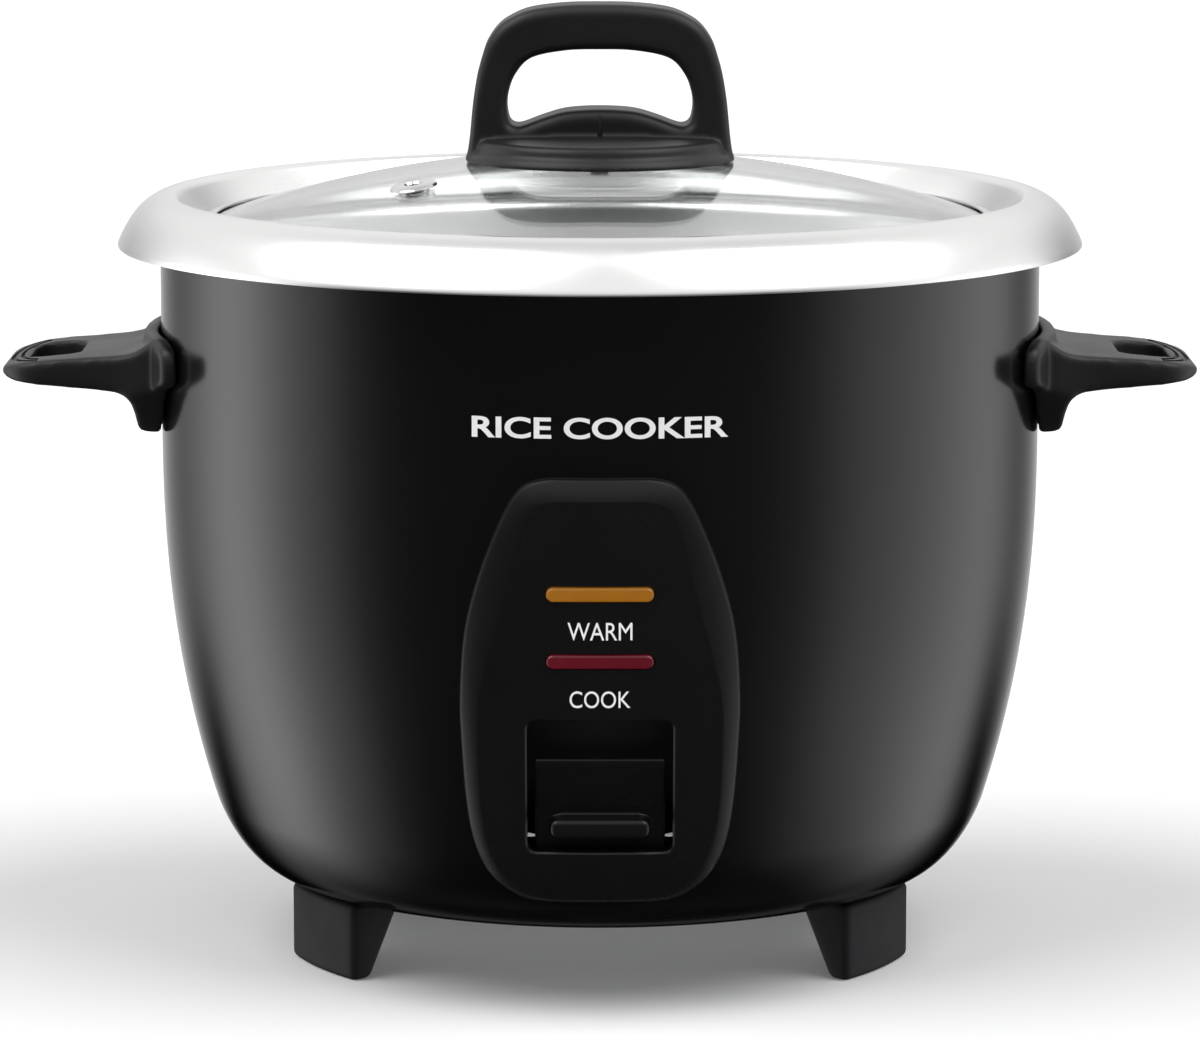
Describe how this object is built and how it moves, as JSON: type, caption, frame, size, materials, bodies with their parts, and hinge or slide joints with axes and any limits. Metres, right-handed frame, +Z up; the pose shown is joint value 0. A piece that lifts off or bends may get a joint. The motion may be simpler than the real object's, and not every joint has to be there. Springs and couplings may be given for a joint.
{
  "type": "rice cooker",
  "caption": "Electric rice cooker: black drum body with side handles and cook/warm lever, lift-out steel pot with a wide lip, and a domed glass lid with an arched handle.",
  "frame": {"origin": "on the surface that the cooker stands on, under the centre of the pot", "axes": "+Z up, the side handles along X, the control panel facing -Y and the power inlet facing +Y"},
  "size_m": [0.3294, 0.2656, 0.2614],
  "materials": {
    "enamel": "gloss black stoved enamel",
    "black_plastic": "satin moulded black phenolic or polypropylene",
    "stainless": "satin stainless steel",
    "aluminium": "plain satin",
    "zinc_steel": "zinc-plated pressed steel",
    "lid_glass": "clear tempered glass",
    "amber_lens": "translucent amber",
    "red_lens": "translucent dark red",
    "brass": "plain",
    "ferrite": "matte dark",
    "silicone": "off-white"
  },
  "bodies": {
    "base": {"base_plate": "zinc_steel", "control_panel": "black_plastic", "cook_lamp": "red_lens", "cook_lens": "red_lens", "foot_front_left": "black_plastic", "foot_front_right": "black_plastic", "foot_rear_left": "black_plastic", "foot_rear_right": "black_plastic", "foot_screw_front_left": "zinc_steel", "foot_screw_front_right": "zinc_steel", "foot_screw_rear_left": "zinc_steel", "foot_screw_rear_right": "zinc_steel", "handle_left": "black_plastic", "handle_right": "black_plastic", "handle_screw_left_front": "zinc_steel", "handle_screw_left_rear": "zinc_steel", "handle_screw_right_front": "zinc_steel", "handle_screw_right_rear": "zinc_steel", "heating_element": "zinc_steel", "heating_plate": "aluminium", "inlet_pin_earth": "brass", "inlet_pin_line": "brass", "inlet_pin_neutral": "brass", "inlet_socket": "black_plastic", "inner_liner": "aluminium", "keep_warm_thermostat": "ferrite", "lamp_holder": "black_plastic", "lever_bracket": "zinc_steel", "lever_pin": "zinc_steel", "microswitch": "black_plastic", "outer_shell": "enamel", "panel_screw_left": "zinc_steel", "panel_screw_right": "zinc_steel", "panel_screw_top": "zinc_steel", "plate_screw_1": "zinc_steel", "plate_screw_2": "zinc_steel", "plate_screw_3": "zinc_steel", "plate_spacer_1": "zinc_steel", "plate_spacer_2": "zinc_steel", "plate_spacer_3": "zinc_steel", "thermal_fuse": "silicone", "thermostat_housing": "zinc_steel", "thermostat_spring": "zinc_steel", "warm_lamp": "amber_lens", "warm_lens": "amber_lens"},
    "pot": {"inner_pot": "stainless"},
    "lid": {"lid_glass": "lid_glass", "lid_rim": "stainless", "vent_grommet": "stainless", "lid_knob": "black_plastic", "knob_screw": "stainless", "knob_washer": "silicone"},
    "lever": {"cook_lever": "black_plastic", "lever_arm": "zinc_steel"},
    "plunger": {"switch_plunger": "silicone"},
    "cap": {"thermostat_cap": "aluminium", "thermostat_ferrite": "ferrite"},
    "magnet": {"thermostat_magnet": "ferrite"}
  },
  "joints": [
    {"name": "pot_lift", "type": "slide", "parent": "base", "child": "pot", "axis": [0, 0, 1], "range_m": [0, 0.2]},
    {"name": "lid_lift", "type": "slide", "parent": "pot", "child": "lid", "axis": [0, 0, 1], "range_m": [0, 0.15]},
    {"name": "lever_turn", "type": "hinge", "parent": "base", "child": "lever", "pos_m": [0, -0.062, 0.04], "axis": [-1, 0, 0], "range_deg": [0, 7.5]},
    {"name": "magnet_slide", "type": "slide", "parent": "base", "child": "magnet", "axis": [0, 0, 1], "range_m": [-0.0085, 0]},
    {"name": "plunger_slide", "type": "slide", "parent": "base", "child": "plunger", "axis": [0, 0, 1], "range_m": [-0.0026, 0]},
    {"name": "cap_press", "type": "slide", "parent": "base", "child": "cap", "axis": [0, 0, 1], "range_m": [-0.002, 0], "stiffness_N_per_m": 400, "springref_m": 0.004, "deforming": ["thermostat_spring"]}
  ],
  "couplings": [
    {"joint": "magnet_slide", "follows": "lever_turn", "m_per_rad": -0.0605},
    {"joint": "plunger_slide", "follows": "lever_turn", "m_per_rad": -0.0185}
  ]
}
